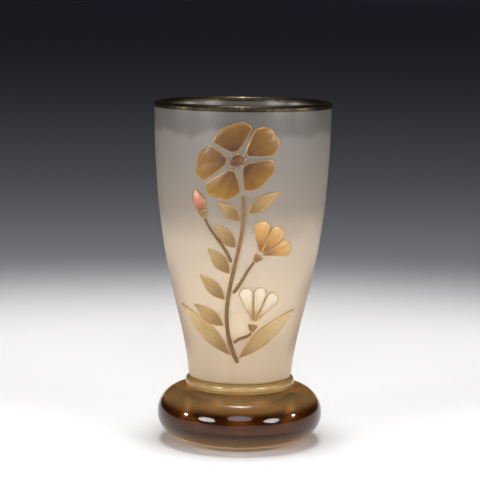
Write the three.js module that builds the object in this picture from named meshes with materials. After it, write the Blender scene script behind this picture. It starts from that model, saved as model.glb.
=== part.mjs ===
// A footed liqueur glass. A blown bowl of smoked glass stands on an amber collar and a thick bun foot
// of brown glass. Its lip is gilt, and a flower spray in raised enamel is fired on to its wall.
// Sizes are in millimetres, +Z is up, and the origin is on the table under the middle of the foot.
// The flower spray faces -Y, and a small sprig is on the other side.
import * as THREE from "three";

// The foot, from the table up. A ground hollow under it is the polished pontil mark.
const ringOuterRadius = 12;
const ringInnerRadius = 6.6;
const pontilDepth = 1.2;
const footRadius = 19.4;
const footWidestHeight = 6.6;
const footHeight = 13;
const footFlankSwell = 3.2;
const footFlankRise = 0.5;
const footFlankPull = 4;
const footShoulderPull = 4;
const footShoulderSwell = 3;
const seatLedge = 0.5;

// The collar, a flattened ring of amber glass between the foot and the bowl.
const collarRadius = 12.8;
const collarHeight = 2.4;
const collarFaceInset = 0.9;

// The bowl. Its outer wall is one curve, which leaves the collar upright and reaches the lip upright.
const bowlHeight = 64.6;
const bowlBaseRadius = 12.1;
const bowlBaseFillet = 0.6;
const mouthRadius = 20.6;
const lowerWallLean = 1.5;
const lowerWallPull = 16.7;
const upperWallLean = 0.45;
const upperWallPull = 39.5;
const lipThickness = 1.5;
const lowerWallThickness = 2.3;
const bowlBaseThickness = 6.5;
const cavityRounding = 7.5;

// Gilding and enamel are fired on. A hairline parts them from the glass that carries them.
const firedGap = 0.05;
const enamelSeam = 0.18;
const giltThickness = 0.12;
const giltHeightOutside = 1.2;
const giltHeightInside = 1;

// Raised enamel: how thick a piece is at its edge, and how far it rises above that.
const enamelEdge = 0.16;
const petalRise = 0.5;
const leafRise = 0.34;
const stemRise = 0.4;
const budRise = 0.85;
const cupRise = 0.64;
const heartRise = 0.8;
const stamenRise = 0.45;
const creaseShare = 0.5;
const midribShare = 0.45;

// The large blossom. It is drawn as if it looked aside, so it is squeezed across its lean.
const blossomAcross = -1.2;
const blossomClearOfGilt = 1.6;
const blossomTurn = 34;
const blossomLean = 35;
const blossomSqueezeShare = 0.76;
const petalCount = 5;
const petalLength = 8.4;
const petalHalfWidth = 4.7;
const petalBaseHalfWidth = 0.8;
const petalRounding = 3.2;
const petalNotch = 0.8;
const heartRadius = 1.45;
const stamenCount = 8;
const stamenRadius = 0.38;

// The spray hangs under the large blossom. It is drawn for this much wall, and is resized with the
// wall that it gets.
const sprayDrawnHeight = 43.7;

// The side blossom and the low blossom, half open and seen from the side.
const halfOpenPetalCount = 3;
const halfOpenPetalStart = 0.9;
const halfOpenPetalRounding = 1.5;
const halfOpenPetalNotch = 0.4;
const sideBlossomAcross = 4.2;
const sideBlossomBelow = 4;
const sideBlossomTurn = 50;
const sidePetalSpacing = 36;
const sidePetalLength = 7.5;
const sidePetalHalfWidth = 2;
const lowBlossomAcross = 2.9;
const lowBlossomBelow = 16.5;
const lowBlossomTurn = 78;
const lowPetalSpacing = 25;
const lowPetalLength = 8.5;
const lowPetalHalfWidth = 1.8;

// Buds and the green cups that hold them.
const budLength = 4.8;
const budHalfWidth = 1.5;
const budTipHalfWidth = 0.16;
const budTurn = 112;
const budBearingTurn = 240;
const budClearOfBlossom = 4.1;
const cupLength = 1.8;
const cupHalfWidth = 1.15;
const cupNeckShare = 0.35;

// Stems. A twig leaves its stem at an angle, and takes up part of its length to bend.
const stemHalfWidth = 0.5;
const twigHalfWidth = 0.38;
const stemTaperShare = 0.3;
const stemFootAcross = -0.6;
const stemFootBelow = 38.2;
const stemFootLean = 7;
const stemFootPull = 14;
const stemHeadShare = 0.92;
const stemHeadLean = 1.5;
const stemHeadPull = 14;
const twigLeavingTurn = 30;
const twigBendShare = 0.34;
const lowTwigShare = 0.11;
const sideTwigShare = 0.43;
const budTwigShare = 0.61;

// Leaves. A share places a leaf along its stem, and a size share is its length beside the usual one.
const leafLength = 9;
const leafHalfWidth = 1.55;
const leafTipHalfWidth = 0.14;
const leafTurn = 50;
const leafBendTurn = 9;
const leftLeafCount = 5;
const lowestLeafShare = 0.22;
const highestLeafShare = 0.86;
const lowestLeafSizeShare = 1;
const highestLeafSizeShare = 0.7;
const rightLeafShare = 0.9;
const longLeafLength = 18.5;
const longLeafHalfWidth = 1.9;
const longLeafBendTurn = 16;
const leftLongLeafShare = 0.05;
const leftLongLeafTurn = 134;
const rightLongLeafShare = 0.02;
const rightLongLeafTurn = 45;

// The sprig on the back.
const backStemDrop = 2;
const backStemHeight = 14;
const backStemFootAcross = -1;
const backStemHeadAcross = 1.5;
const backStemBow = 3;
const backBudTurn = 100;
const backLeafCount = 3;
const backLowestLeafShare = 0.15;
const backHighestLeafShare = 0.6;
const backLowestLeafSizeShare = 0.8;
const backHighestLeafSizeShare = 0.65;

// How finely the shapes are divided.
const roundSteps = 48;
const wallSteps = 13;
const smallSteps = 5;
const heartSteps = 16;
const stamenSteps = 7;
const broadSteps = 6;
const narrowSteps = 4;
const enamelStep = 1.7;
const enamelEndSteps = 2;

const collarBottom = footHeight;
const bowlBottom = collarBottom + collarHeight;
const rimHeight = bowlBottom + bowlHeight;
const lipRadius = lipThickness / 2;
const seatRadius = collarRadius + seatLedge;

const materials = {
  smokedGlass: material(0xcdb79e, 0.3, 0, 0.55),
  amberGlass: material(0xa9762f, 0.1, 0, 0.75),
  brownGlass: material(0x4a2c17, 0.08, 0, 0.9),
  gilding: material(0xb98a3a, 0.25, 1),
  petalEnamel: material(0x9a6424, 0.3, 0),
  heartEnamel: material(0x5a3216, 0.35, 0),
  stamenEnamel: material(0xdaa84a, 0.3, 0),
  sidePetalEnamel: material(0xae7834, 0.3, 0),
  lowPetalEnamel: material(0xe8d3a8, 0.3, 0),
  leafEnamel: material(0x8c7038, 0.35, 0),
  stemEnamel: material(0x7a5526, 0.35, 0),
  budEnamel: material(0xb9715a, 0.3, 0),
};

function material(color, roughness, metalness, opacity = 1) {
  const settings = { color, roughness, metalness, opacity, transparent: opacity < 1 };
  return new THREE.MeshStandardMaterial(settings);
}

// The bowl's outer wall as a curve of radius against height.
const wall = new THREE.CubicBezierCurve(
  new THREE.Vector2(bowlBaseRadius, bowlBottom + bowlBaseFillet),
  new THREE.Vector2(bowlBaseRadius + lowerWallLean, bowlBottom + bowlBaseFillet + lowerWallPull),
  new THREE.Vector2(mouthRadius - upperWallLean, rimHeight - lipRadius - upperWallPull),
  new THREE.Vector2(mouthRadius, rimHeight - lipRadius),
);

// The wall's share at a height, found by halving, because the curve always climbs.
function wallShareAt(height) {
  let low = 0;
  let high = 1;
  for (let step = 0; step < 40; step += 1) {
    const middle = (low + high) / 2;
    if (wall.getPoint(middle).y < height) low = middle;
    else high = middle;
  }
  return (low + high) / 2;
}

// A point at a distance out of the wall, as radius and height. A negative distance is inside it.
function offWall(share, distance) {
  const point = wall.getPoint(share);
  const along = wall.getTangent(share);
  return new THREE.Vector2(point.x + along.y * distance, point.y - along.x * distance);
}

// A solid of revolution round Z, from a profile of radius and height.
function turned(profile, steps = roundSteps) {
  return new THREE.LatheGeometry(profile, steps).rotateX(Math.PI / 2);
}

function footGeometry() {
  const path = new THREE.Path();
  path.moveTo(0, pontilDepth);
  path.quadraticCurveTo(ringInnerRadius / 2, pontilDepth, ringInnerRadius, 0);
  path.lineTo(ringOuterRadius, 0);
  path.bezierCurveTo(
    ringOuterRadius + footFlankSwell, footFlankRise,
    footRadius, footWidestHeight - footFlankPull,
    footRadius, footWidestHeight,
  );
  path.bezierCurveTo(
    footRadius, footWidestHeight + footShoulderPull,
    seatRadius + footShoulderSwell, footHeight,
    seatRadius, footHeight,
  );
  path.lineTo(0, footHeight);
  return turned(path.getPoints(smallSteps + 1));
}

function collarGeometry() {
  const faceRadius = collarRadius - collarFaceInset;
  const path = new THREE.Path();
  path.moveTo(0, collarBottom);
  path.lineTo(faceRadius, collarBottom);
  path.quadraticCurveTo(collarRadius, collarBottom, collarRadius, collarBottom + collarHeight / 2);
  path.quadraticCurveTo(collarRadius, bowlBottom, faceRadius, bowlBottom);
  path.lineTo(0, bowlBottom);
  return turned(path.getPoints(smallSteps - 1));
}

// The inner wall runs inside the outer one, and thins towards the lip.
function innerWallPoint(share) {
  const thickness = lowerWallThickness + (lipThickness - lowerWallThickness) * share;
  return offWall(share, -thickness);
}

function bowlGeometry() {
  const profile = [new THREE.Vector2(0, bowlBottom)];
  profile.push(new THREE.Vector2(bowlBaseRadius - bowlBaseFillet, bowlBottom));
  for (let step = 0; step <= wallSteps; step += 1) profile.push(wall.getPoint(step / wallSteps));
  const lipAngles = [45, 90, 135].map(THREE.MathUtils.degToRad);
  for (const angle of lipAngles) profile.push(lipPoint(angle, 0));
  const cavityBottom = bowlBottom + bowlBaseThickness;
  const floorShare = wallShareAt(cavityBottom + cavityRounding);
  for (let step = 0; step <= wallSteps; step += 1) {
    profile.push(innerWallPoint(1 + ((floorShare - 1) * step) / wallSteps));
  }
  const edge = innerWallPoint(floorShare);
  for (let step = 1; step <= smallSteps; step += 1) {
    const angle = ((Math.PI / 2) * step) / smallSteps;
    const drop = (edge.y - cavityBottom) * Math.sin(angle);
    profile.push(new THREE.Vector2(edge.x * Math.cos(angle), edge.y - drop));
  }
  profile[profile.length - 1].x = 0;
  return turned(profile);
}

// A point round the rounded lip, at an angle from straight out, and a distance off the glass.
function lipPoint(angle, distance) {
  const reach = lipRadius + distance;
  const middle = mouthRadius - lipRadius;
  const height = rimHeight - lipRadius + reach * Math.sin(angle);
  return new THREE.Vector2(middle + reach * Math.cos(angle), height);
}

// The gilding is a thin channel over the lip, further down outside than inside.
function giltLipGeometry() {
  const outsideShare = wallShareAt(rimHeight - giltHeightOutside);
  const insideShare = wallShareAt(rimHeight - giltHeightInside);
  const skin = (distance) => {
    const points = [offWall(outsideShare, distance)];
    for (let step = 0; step <= smallSteps + 1; step += 1) {
      points.push(lipPoint((Math.PI * step) / (smallSteps + 1), distance));
    }
    const inside = innerWallPoint(insideShare);
    points.push(new THREE.Vector2(inside.x - distance, inside.y));
    return points;
  };
  const inner = skin(firedGap);
  const outer = skin(firedGap + giltThickness).reverse();
  return turned([...inner, ...outer, inner[0]].reverse());
}

// Lays a flat piece on the bowl: x runs round the wall, y is the height and z stands out of the wall.
// facing is the angle, in radians, from the front of the glass round to the middle of the drawing.
function laidOnBowl(geometry, facing) {
  const place = geometry.getAttribute("position");
  for (let index = 0; index < place.count; index += 1) {
    const share = wallShareAt(place.getY(index));
    const radius = wall.getPoint(share).x;
    const angle = facing + place.getX(index) / radius;
    const point = offWall(share, place.getZ(index));
    place.setXYZ(index, point.x * Math.sin(angle), -point.x * Math.cos(angle), point.y);
  }
  return geometry;
}

// A raised piece as a subdivided box, bent along a spine that is drawn on the unrolled wall.
// halfWidth, rise and setback are functions of v, the share of the length, and u, from -1 to 1 across.
// Steps are short enough for the flat faces under the piece to stay clear of the round wall.
function raisedGeometry({ spine, halfWidth, rise, across, setback = () => 0 }) {
  const along = Math.ceil(spine.getLength() / enamelStep) + enamelEndSteps;
  const box = new THREE.BoxGeometry(2, 1, 1, across, along, 1).translate(0, 0.5, 0.5);
  const place = box.getAttribute("position");
  for (let index = 0; index < place.count; index += 1) {
    const u = place.getX(index);
    const v = place.getY(index);
    const middle = spine.getPoint(v);
    const ahead = spine.getTangent(v);
    const aside = u * halfWidth(v);
    const back = setback(u, v);
    const lift = place.getZ(index) > 0.5 ? enamelEdge + rise(u, v) : 0;
    place.setXYZ(
      index,
      middle.x + ahead.y * aside - ahead.x * back,
      middle.y - ahead.x * aside - ahead.y * back,
      firedGap + lift,
    );
  }
  return box;
}

// A round domed piece, such as the heart of a blossom. Its underside has a ring, so that it can bend.
function domeGeometry(radius, rise, steps) {
  const path = new THREE.Path();
  path.moveTo(0, 0);
  path.lineTo(radius / 2, 0);
  path.lineTo(radius, 0);
  path.lineTo(radius, enamelEdge);
  path.quadraticCurveTo(radius, enamelEdge + rise, 0, enamelEdge + rise);
  return new THREE.LatheGeometry(path.getPoints(3), steps).rotateX(Math.PI / 2);
}

// Directions in the drawing are in degrees, from straight right, turning upwards.
function towards(degrees) {
  const angle = THREE.MathUtils.degToRad(degrees);
  return new THREE.Vector2(Math.cos(angle), Math.sin(angle));
}

function stepTo(from, degrees, distance) {
  return from.clone().addScaledVector(towards(degrees), distance);
}

const glass = new THREE.Group();

function addPiece(name, geometry, kind) {
  const piece = new THREE.Mesh(geometry, kind);
  piece.name = name;
  glass.add(piece);
}

// Every raised piece outside the large blossom belongs to the resized part of the drawing.
function addRaised(name, facing, kind, form) {
  const piece = raisedGeometry(form).translate(0, -bowlBottom, 0);
  piece.scale(sprayFit, sprayFit, 1).translate(0, bowlBottom, 0);
  addPiece(name, laidOnBowl(piece, facing), kind);
}

// A petal widens to a rounded end with a notch, and stays inside its own share of the full turn.
// Its relief is highest beside a crease along the middle.
function petalForm({ middle, start, degrees, spacing, length, half, rounding, notch, across }) {
  const base = stepTo(middle, degrees, start);
  const halfTurn = THREE.MathUtils.degToRad(spacing / 2);
  const room = (v) => {
    const reach = start + length * v - rounding * v * v;
    return reach * Math.tan(halfTurn) - enamelSeam / 2 / Math.cos(halfTurn);
  };
  const opening = (v) => Math.pow(Math.sin((Math.PI / 2) * v), 0.9);
  return {
    spine: new THREE.LineCurve(base, stepTo(base, degrees, length)),
    halfWidth: (v) => Math.min(petalBaseHalfWidth * (1 - v) + half * opening(v), room(v)),
    setback: (u, v) => {
      const round = rounding * (1 - Math.sqrt(1 - u * u)) * v * v;
      return round + notch * Math.pow(1 - Math.abs(u), 2) * Math.pow(v, 6);
    },
    rise: (u, v) => {
      const crease = 1 - creaseShare * Math.exp(-Math.pow(4 * u, 2));
      return petalRise * (0.3 + 0.7 * v) * crease * (1 - Math.pow(u, 4)) * (1 - Math.pow(v, 8));
    },
    across,
  };
}

// A leaf is lance shaped, bends along its length and has a sunk midrib.
function leafForm(base, degrees, bend, length, half) {
  const middle = stepTo(base, degrees, length / 2);
  const tip = stepTo(middle, degrees + bend, length / 2);
  return {
    spine: new THREE.QuadraticBezierCurve(base, middle, tip),
    halfWidth: (v) => leafTipHalfWidth + half * Math.pow(Math.sin(Math.PI * Math.pow(v, 0.85)), 1.15),
    rise: (u, v) => {
      const midrib = 1 - midribShare * Math.exp(-Math.pow(3 * u, 2));
      return leafRise * midrib * (1 - u * u) * Math.sin(Math.PI * (0.1 + 0.85 * v));
    },
    across: narrowSteps,
  };
}

function stemForm(spine, half) {
  return {
    spine,
    halfWidth: (v) => half * (1 - stemTaperShare * v),
    rise: (u) => stemRise * Math.sqrt(1 - u * u),
    across: narrowSteps,
  };
}

function budForm(base, degrees, length, half) {
  return {
    spine: new THREE.LineCurve(base, stepTo(base, degrees, length)),
    halfWidth: (v) => budTipHalfWidth + half * Math.pow(Math.sin(Math.PI * (0.2 + 0.8 * v)), 0.9),
    rise: (u, v) => budRise * Math.sqrt(1 - u * u) * Math.sin(Math.PI * (0.15 + 0.8 * v)),
    across: broadSteps,
  };
}

function cupForm(base, degrees, length, half) {
  return {
    spine: new THREE.LineCurve(base, stepTo(base, degrees, length)),
    halfWidth: (v) => half * (cupNeckShare + (1 - cupNeckShare) * Math.sin((Math.PI / 2) * v)),
    rise: (u) => cupRise * Math.sqrt(1 - u * u),
    across: broadSteps,
  };
}

// A bud in its cup, growing from base.
function addBud(prefix, facing, base, degrees) {
  addRaised(`${prefix}_cup`, facing, materials.leafEnamel, cupForm(base, degrees, cupLength, cupHalfWidth));
  const start = stepTo(base, degrees, cupLength + enamelSeam);
  addRaised(`${prefix}_tip`, facing, materials.budEnamel, budForm(start, degrees, budLength, budHalfWidth));
}

// The point beside a stem where a leaf or a twig of some half width starts. side is 1 for the right.
function besideStem(stem, share, side, half) {
  const ahead = stem.getTangent(share);
  const reach = side * (stemHalfWidth + half + enamelSeam);
  const point = stem.getPoint(share);
  return new THREE.Vector2(point.x + ahead.y * reach, point.y - ahead.x * reach);
}

// The direction of a stem at a share of its length, in degrees.
function stemTurn(stem, share) {
  return THREE.MathUtils.radToDeg(stem.getTangent(share).angle());
}

function addLeaf(name, facing, stem, share, side, sizeShare) {
  const base = besideStem(stem, share, side, leafTipHalfWidth);
  const degrees = stemTurn(stem, share) - side * leafTurn;
  const form = leafForm(base, degrees, -side * leafBendTurn, leafLength * sizeShare, leafHalfWidth);
  addRaised(name, facing, materials.leafEnamel, form);
}

function addLongLeaf(name, stem, share, side, degrees) {
  const base = besideStem(stem, share, side, leafTipHalfWidth);
  const form = leafForm(base, degrees, -side * longLeafBendTurn, longLeafLength, longLeafHalfWidth);
  addRaised(name, 0, materials.leafEnamel, form);
}

// A twig from beside a stem to the foot of a cup, which it meets in the cup's own direction.
function addTwig(name, stem, share, side, cupBase, degrees) {
  const start = besideStem(stem, share, side, twigHalfWidth);
  const end = stepTo(cupBase, degrees + 180, enamelSeam);
  const leaving = stemTurn(stem, share) - side * twigLeavingTurn;
  const bend = start.distanceTo(end) * twigBendShare;
  const spine = new THREE.CubicBezierCurve(
    start,
    stepTo(start, leaving, bend),
    stepTo(end, degrees + 180, bend),
    end,
  );
  addRaised(name, 0, materials.stemEnamel, stemForm(spine, twigHalfWidth));
}

// The large blossom: petals round a domed heart, with a ring of stamen beads between them.
const stamenRingRadius = heartRadius + enamelSeam + stamenRadius;
const petalStart = stamenRingRadius + stamenRadius + enamelSeam;
const blossomReach = petalStart + petalLength;
const blossomHalfHeight = Math.hypot(
  blossomReach * towards(blossomLean).y,
  blossomReach * blossomSqueezeShare * towards(blossomLean).x,
);
const blossomHeight = rimHeight - giltHeightOutside - blossomClearOfGilt - blossomHalfHeight;
const blossomMiddle = new THREE.Vector2(blossomAcross, blossomHeight);

// Where the blossom's lowest point and middle are in the drawing, and how the drawing is resized.
const drawnFoot = bowlBottom + sprayDrawnHeight;
const drawnMiddle = new THREE.Vector2(blossomAcross, drawnFoot + blossomHalfHeight);
const sprayFit = (blossomHeight - blossomHalfHeight - bowlBottom) / sprayDrawnHeight;

// The blossom is drawn round the origin. This squeezes it across its lean and moves it to its place.
const leanAngle = THREE.MathUtils.degToRad(blossomLean);
const blossomPlacing = new THREE.Matrix4()
  .makeTranslation(blossomMiddle.x, blossomMiddle.y, 0)
  .multiply(new THREE.Matrix4().makeRotationZ(leanAngle))
  .multiply(new THREE.Matrix4().makeScale(1, blossomSqueezeShare, 1))
  .multiply(new THREE.Matrix4().makeRotationZ(-leanAngle));

function addToBlossom(name, geometry, kind) {
  addPiece(name, laidOnBowl(geometry.applyMatrix4(blossomPlacing), 0), kind);
}

// A point of the blossom in the drawing, at an angle and a distance from its heart before squeezing.
function blossomPoint(degrees, distance) {
  const point = towards(degrees - blossomLean).multiplyScalar(distance);
  point.y *= blossomSqueezeShare;
  return point.rotateAround(new THREE.Vector2(0, 0), leanAngle).add(drawnMiddle);
}

function addBlossom() {
  for (let index = 0; index < petalCount; index += 1) {
    const form = petalForm({
      middle: new THREE.Vector2(0, 0),
      start: petalStart,
      degrees: blossomTurn + (360 / petalCount) * index,
      spacing: 360 / petalCount,
      length: petalLength,
      half: petalHalfWidth,
      rounding: petalRounding,
      notch: petalNotch,
      across: broadSteps,
    });
    addToBlossom(`blossom_petal_${index + 1}`, raisedGeometry(form), materials.petalEnamel);
  }
  const heart = domeGeometry(heartRadius, heartRise, heartSteps).translate(0, 0, firedGap);
  addToBlossom("blossom_heart", heart, materials.heartEnamel);
  for (let index = 0; index < stamenCount; index += 1) {
    const middle = towards((360 / stamenCount) * index).multiplyScalar(stamenRingRadius);
    const bead = domeGeometry(stamenRadius, stamenRise, stamenSteps);
    bead.translate(middle.x, middle.y, firedGap);
    addToBlossom(`stamen_${index + 1}`, bead, materials.stamenEnamel);
  }
}

// A half-open blossom in its cup. It gives back the foot of the cup, where its twig ends.
function addHalfOpenBlossom(prefix, kind, { middle, turn, spacing, length, half }) {
  for (let index = 0; index < halfOpenPetalCount; index += 1) {
    const form = petalForm({
      middle,
      start: halfOpenPetalStart,
      degrees: turn + (index - (halfOpenPetalCount - 1) / 2) * spacing,
      spacing,
      length,
      half,
      rounding: halfOpenPetalRounding,
      notch: halfOpenPetalNotch,
      across: narrowSteps,
    });
    addRaised(`${prefix}_petal_${index + 1}`, 0, kind, form);
  }
  const cupBase = stepTo(middle, turn + 180, cupLength);
  addRaised(`${prefix}_cup`, 0, materials.leafEnamel, cupForm(cupBase, turn, cupLength, cupHalfWidth));
  return cupBase;
}

// The side blossom stays below the large one, and the low blossom below the side one.
const sideBlossomReach = halfOpenPetalStart + sidePetalLength;
const sideBlossomHeight = drawnFoot - sideBlossomBelow - sideBlossomReach;
const sideBlossomMiddle = new THREE.Vector2(sideBlossomAcross, sideBlossomHeight);
const lowBlossomHeight = sideBlossomHeight - lowBlossomBelow;
const lowBlossomMiddle = new THREE.Vector2(lowBlossomAcross, lowBlossomHeight);

// The main stem ends in the gap between the two lowest petals.
function mainStemCurve() {
  const foot = new THREE.Vector2(stemFootAcross, drawnFoot - stemFootBelow);
  const gapTurn = blossomTurn - (1.5 * 360) / petalCount;
  const head = blossomPoint(gapTurn, blossomReach * stemHeadShare);
  return new THREE.CubicBezierCurve(
    foot,
    new THREE.Vector2(foot.x - stemFootLean, foot.y + stemFootPull),
    new THREE.Vector2(head.x + stemHeadLean, head.y - stemHeadPull),
    head,
  );
}

function addFrontSpray() {
  addBlossom();
  const stem = mainStemCurve();
  addRaised("main_stem", 0, materials.stemEnamel, stemForm(stem, stemHalfWidth));

  const sideCupBase = addHalfOpenBlossom("side_blossom", materials.sidePetalEnamel, {
    middle: sideBlossomMiddle,
    turn: sideBlossomTurn,
    spacing: sidePetalSpacing,
    length: sidePetalLength,
    half: sidePetalHalfWidth,
  });
  addTwig("side_blossom_stem", stem, sideTwigShare, 1, sideCupBase, sideBlossomTurn);

  const lowCupBase = addHalfOpenBlossom("low_blossom", materials.lowPetalEnamel, {
    middle: lowBlossomMiddle,
    turn: lowBlossomTurn,
    spacing: lowPetalSpacing,
    length: lowPetalLength,
    half: lowPetalHalfWidth,
  });
  addTwig("low_blossom_stem", stem, lowTwigShare, 1, lowCupBase, lowBlossomTurn);

  const budBase = stepTo(drawnMiddle, budBearingTurn, blossomReach + budClearOfBlossom);
  addBud("bud", 0, budBase, budTurn);
  addTwig("bud_stem", stem, budTwigShare, -1, budBase, budTurn);

  addLongLeaf("leaf_1", stem, leftLongLeafShare, -1, leftLongLeafTurn);
  addLongLeaf("leaf_2", stem, rightLongLeafShare, 1, rightLongLeafTurn);
  for (let index = 0; index < leftLeafCount; index += 1) {
    const climb = index / (leftLeafCount - 1);
    const share = THREE.MathUtils.lerp(lowestLeafShare, highestLeafShare, climb);
    const sizeShare = THREE.MathUtils.lerp(lowestLeafSizeShare, highestLeafSizeShare, climb);
    addLeaf(`leaf_${index + 3}`, 0, stem, share, -1, sizeShare);
  }
  addLeaf(`leaf_${leftLeafCount + 3}`, 0, stem, rightLeafShare, 1, 1);
}

function addBackSprig() {
  const facing = Math.PI;
  const head = new THREE.Vector2(backStemHeadAcross, drawnMiddle.y - backStemDrop);
  const foot = new THREE.Vector2(backStemFootAcross, head.y - backStemHeight);
  const bow = new THREE.Vector2(backStemBow, (head.y + foot.y) / 2);
  const stem = new THREE.QuadraticBezierCurve(foot, bow, head);
  addRaised("back_stem", facing, materials.stemEnamel, stemForm(stem, twigHalfWidth));
  addBud("back_bud", facing, stepTo(head, backBudTurn, enamelSeam), backBudTurn);
  for (let index = 0; index < backLeafCount; index += 1) {
    const climb = index / (backLeafCount - 1);
    const share = THREE.MathUtils.lerp(backLowestLeafShare, backHighestLeafShare, climb);
    const sizeShare = THREE.MathUtils.lerp(backLowestLeafSizeShare, backHighestLeafSizeShare, climb);
    addLeaf(`back_leaf_${index + 1}`, facing, stem, share, index % 2 ? 1 : -1, sizeShare);
  }
}

addPiece("foot", footGeometry(), materials.brownGlass);
addPiece("collar", collarGeometry(), materials.amberGlass);
addPiece("bowl", bowlGeometry(), materials.smokedGlass);
addPiece("gilt_lip", giltLipGeometry(), materials.gilding);
addFrontSpray();
addBackSprig();

export default glass;
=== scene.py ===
# %% [markdown]
# # A footed liqueur glass
# A small blown glass stands on an amber collar and a thick bun foot of brown glass. Its wall is
# etched to a satin skin, its lip is gilt, and a spray of flowers in raised enamel climbs the
# front. The engineering model gives every size. This lesson makes the fine surfaces, the
# finishes, the light and the camera, and it never moves or resizes what the model fixes.

# %% Load the frame
import math

import bpy
import numpy as np
from mathutils import Matrix, Vector


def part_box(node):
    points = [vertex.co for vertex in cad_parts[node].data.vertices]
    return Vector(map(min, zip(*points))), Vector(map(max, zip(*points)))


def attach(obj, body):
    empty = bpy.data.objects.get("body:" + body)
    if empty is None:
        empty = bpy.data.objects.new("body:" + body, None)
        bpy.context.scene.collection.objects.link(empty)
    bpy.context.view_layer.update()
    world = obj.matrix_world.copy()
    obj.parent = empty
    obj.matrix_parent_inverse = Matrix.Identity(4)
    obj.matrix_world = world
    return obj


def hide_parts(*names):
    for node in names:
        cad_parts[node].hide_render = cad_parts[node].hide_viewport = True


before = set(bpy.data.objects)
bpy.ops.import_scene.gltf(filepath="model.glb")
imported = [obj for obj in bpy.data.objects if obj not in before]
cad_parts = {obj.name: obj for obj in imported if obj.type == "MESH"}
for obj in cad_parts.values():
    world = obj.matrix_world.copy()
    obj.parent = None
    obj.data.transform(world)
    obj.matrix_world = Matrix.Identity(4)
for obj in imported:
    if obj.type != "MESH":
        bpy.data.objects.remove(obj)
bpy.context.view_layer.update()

MM = 0.001

# %% [markdown]
# ## The camera
# The photograph looks slightly down on the glass from about arm's length, with a long lens, and
# the glass leans a hair clockwise in it. The camera is placed first, because every later choice
# of detail is judged through it. Its sizes come from fitting the ellipses of the lip and the
# foot.

# %% Place the camera
CAMERA_DISTANCE = 434 * MM
CAMERA_HEIGHT = 104.3 * MM
CAMERA_ASIDE = -0.35 * MM
CAMERA_PITCH = math.radians(7.45)
CAMERA_ROLL = math.radians(0.7)
SENSOR_WIDTH = 36
LENS = 140
NEAREST_SEEN = 10 * MM
FARTHEST_SEEN = 100

bpy.ops.object.select_all(action="DESELECT")
bpy.ops.object.camera_add(location=(CAMERA_ASIDE, -CAMERA_DISTANCE, CAMERA_HEIGHT))
camera = bpy.context.object
camera.name = "camera"
tilt = Matrix.Rotation(math.pi / 2 - CAMERA_PITCH, 4, "X") @ Matrix.Rotation(CAMERA_ROLL, 4, "Z")
camera.rotation_euler = tilt.to_euler()
camera.data.sensor_width = SENSOR_WIDTH
camera.data.lens = LENS
camera.data.clip_start = NEAREST_SEEN
camera.data.clip_end = FARTHEST_SEEN
bpy.context.scene.camera = camera
print("camera", round(CAMERA_DISTANCE / MM), "mm away and", round(CAMERA_HEIGHT / MM, 1), "mm up")

# %% [markdown]
# ## Small helpers for finishes
# Every finish is a node tree, so a few helpers keep the cells short. One turns a colour as the
# eye names it, from 0 to 255, into the linear light that the renderer works in. The others add a
# node and plug in its values, or the sockets that feed it.

# %% Helper for colours
def paint(red, green, blue):
    """A colour as seen on screen, in sRGB, as the linear colour that a socket holds."""
    def linear(value):
        share = value / 255
        return share / 12.92 if share <= 0.04045 else ((share + 0.055) / 1.055) ** 2.4
    return (linear(red), linear(green), linear(blue), 1)


print("a middle grey is", round(paint(128, 128, 128)[0], 3), "in linear light")

# %% Helpers for nodes
def plug(tree, value, socket):
    """Feeds a socket from another socket, or sets it to a value."""
    if isinstance(value, bpy.types.NodeSocket):
        tree.links.new(value, socket)
    else:
        socket.default_value = value


def add(tree, kind, inputs=None, **settings):
    """Adds a shader node. An input is a value, or the socket of another node."""
    made = tree.nodes.new("ShaderNode" + kind)
    for name, value in settings.items():
        setattr(made, name, value)
    for name, value in (inputs or {}).items():
        plug(tree, value, made.inputs[name])
    return made


def ramp(tree, factor, stops):
    """A colour ramp that eases from stop to stop. stops are (place, colour), from 0 to 1."""
    made = add(tree, "ValToRGB", {"Fac": factor})
    made.color_ramp.interpolation = "EASE"
    elements = made.color_ramp.elements
    while len(elements) < len(stops):
        elements.new(0.5)  # its real place is set below
    for element, (place, colour) in zip(elements, stops):
        element.position = place
        element.color = colour
    return made.outputs["Color"]


def span(tree, value, low, high, start=0, end=1):
    """Maps a number from low and high to start and end, and stops there."""
    inputs = {"Value": value, "From Min": low, "From Max": high, "To Min": start, "To Max": end}
    return add(tree, "MapRange", inputs).outputs["Result"]


MIX_SHARE, MIX_FIRST, MIX_SECOND, MIXED = 0, 6, 7, 2  # the colour sockets of a Mix node


def blend_colours(tree, share, first, second, how="MIX"):
    """Mixes two colours by a share of the second."""
    made = add(tree, "Mix", data_type="RGBA", blend_type=how)
    for index, value in ((MIX_SHARE, share), (MIX_FIRST, first), (MIX_SECOND, second)):
        plug(tree, value, made.inputs[index])
    return made.outputs[MIXED]


def stain(tree, colour, filter_colour):
    """A colour seen through a coloured filter."""
    return blend_colours(tree, 1, colour, filter_colour, "MULTIPLY")


def maths(tree, operation, *values):
    """One step of arithmetic on sockets or numbers."""
    made = add(tree, "Math", operation=operation)
    for socket, value in zip(made.inputs, values):
        plug(tree, value, socket)
    return made.outputs[0]


print("helpers for nodes ready")

# %% [markdown]
# ## What the finishes share
# Glass, gold and enamel all vary in clouds: streaks in the melt, smudges of handling, pits of the
# kiln. One noise texture at different scales gives all of them. Small relief goes in as a bump,
# because it is far finer than the mesh, and large shapes are left to the mesh.

# %% Helpers for a finish
def new_finish(name):
    """A material with one Principled shader, and the place of each point on the object."""
    material = bpy.data.materials.new(name)
    material.use_nodes = True
    tree = material.node_tree
    shader = tree.nodes["Principled BSDF"]
    place = add(tree, "TexCoord").outputs["Object"]
    return material, tree, shader, place


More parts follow.
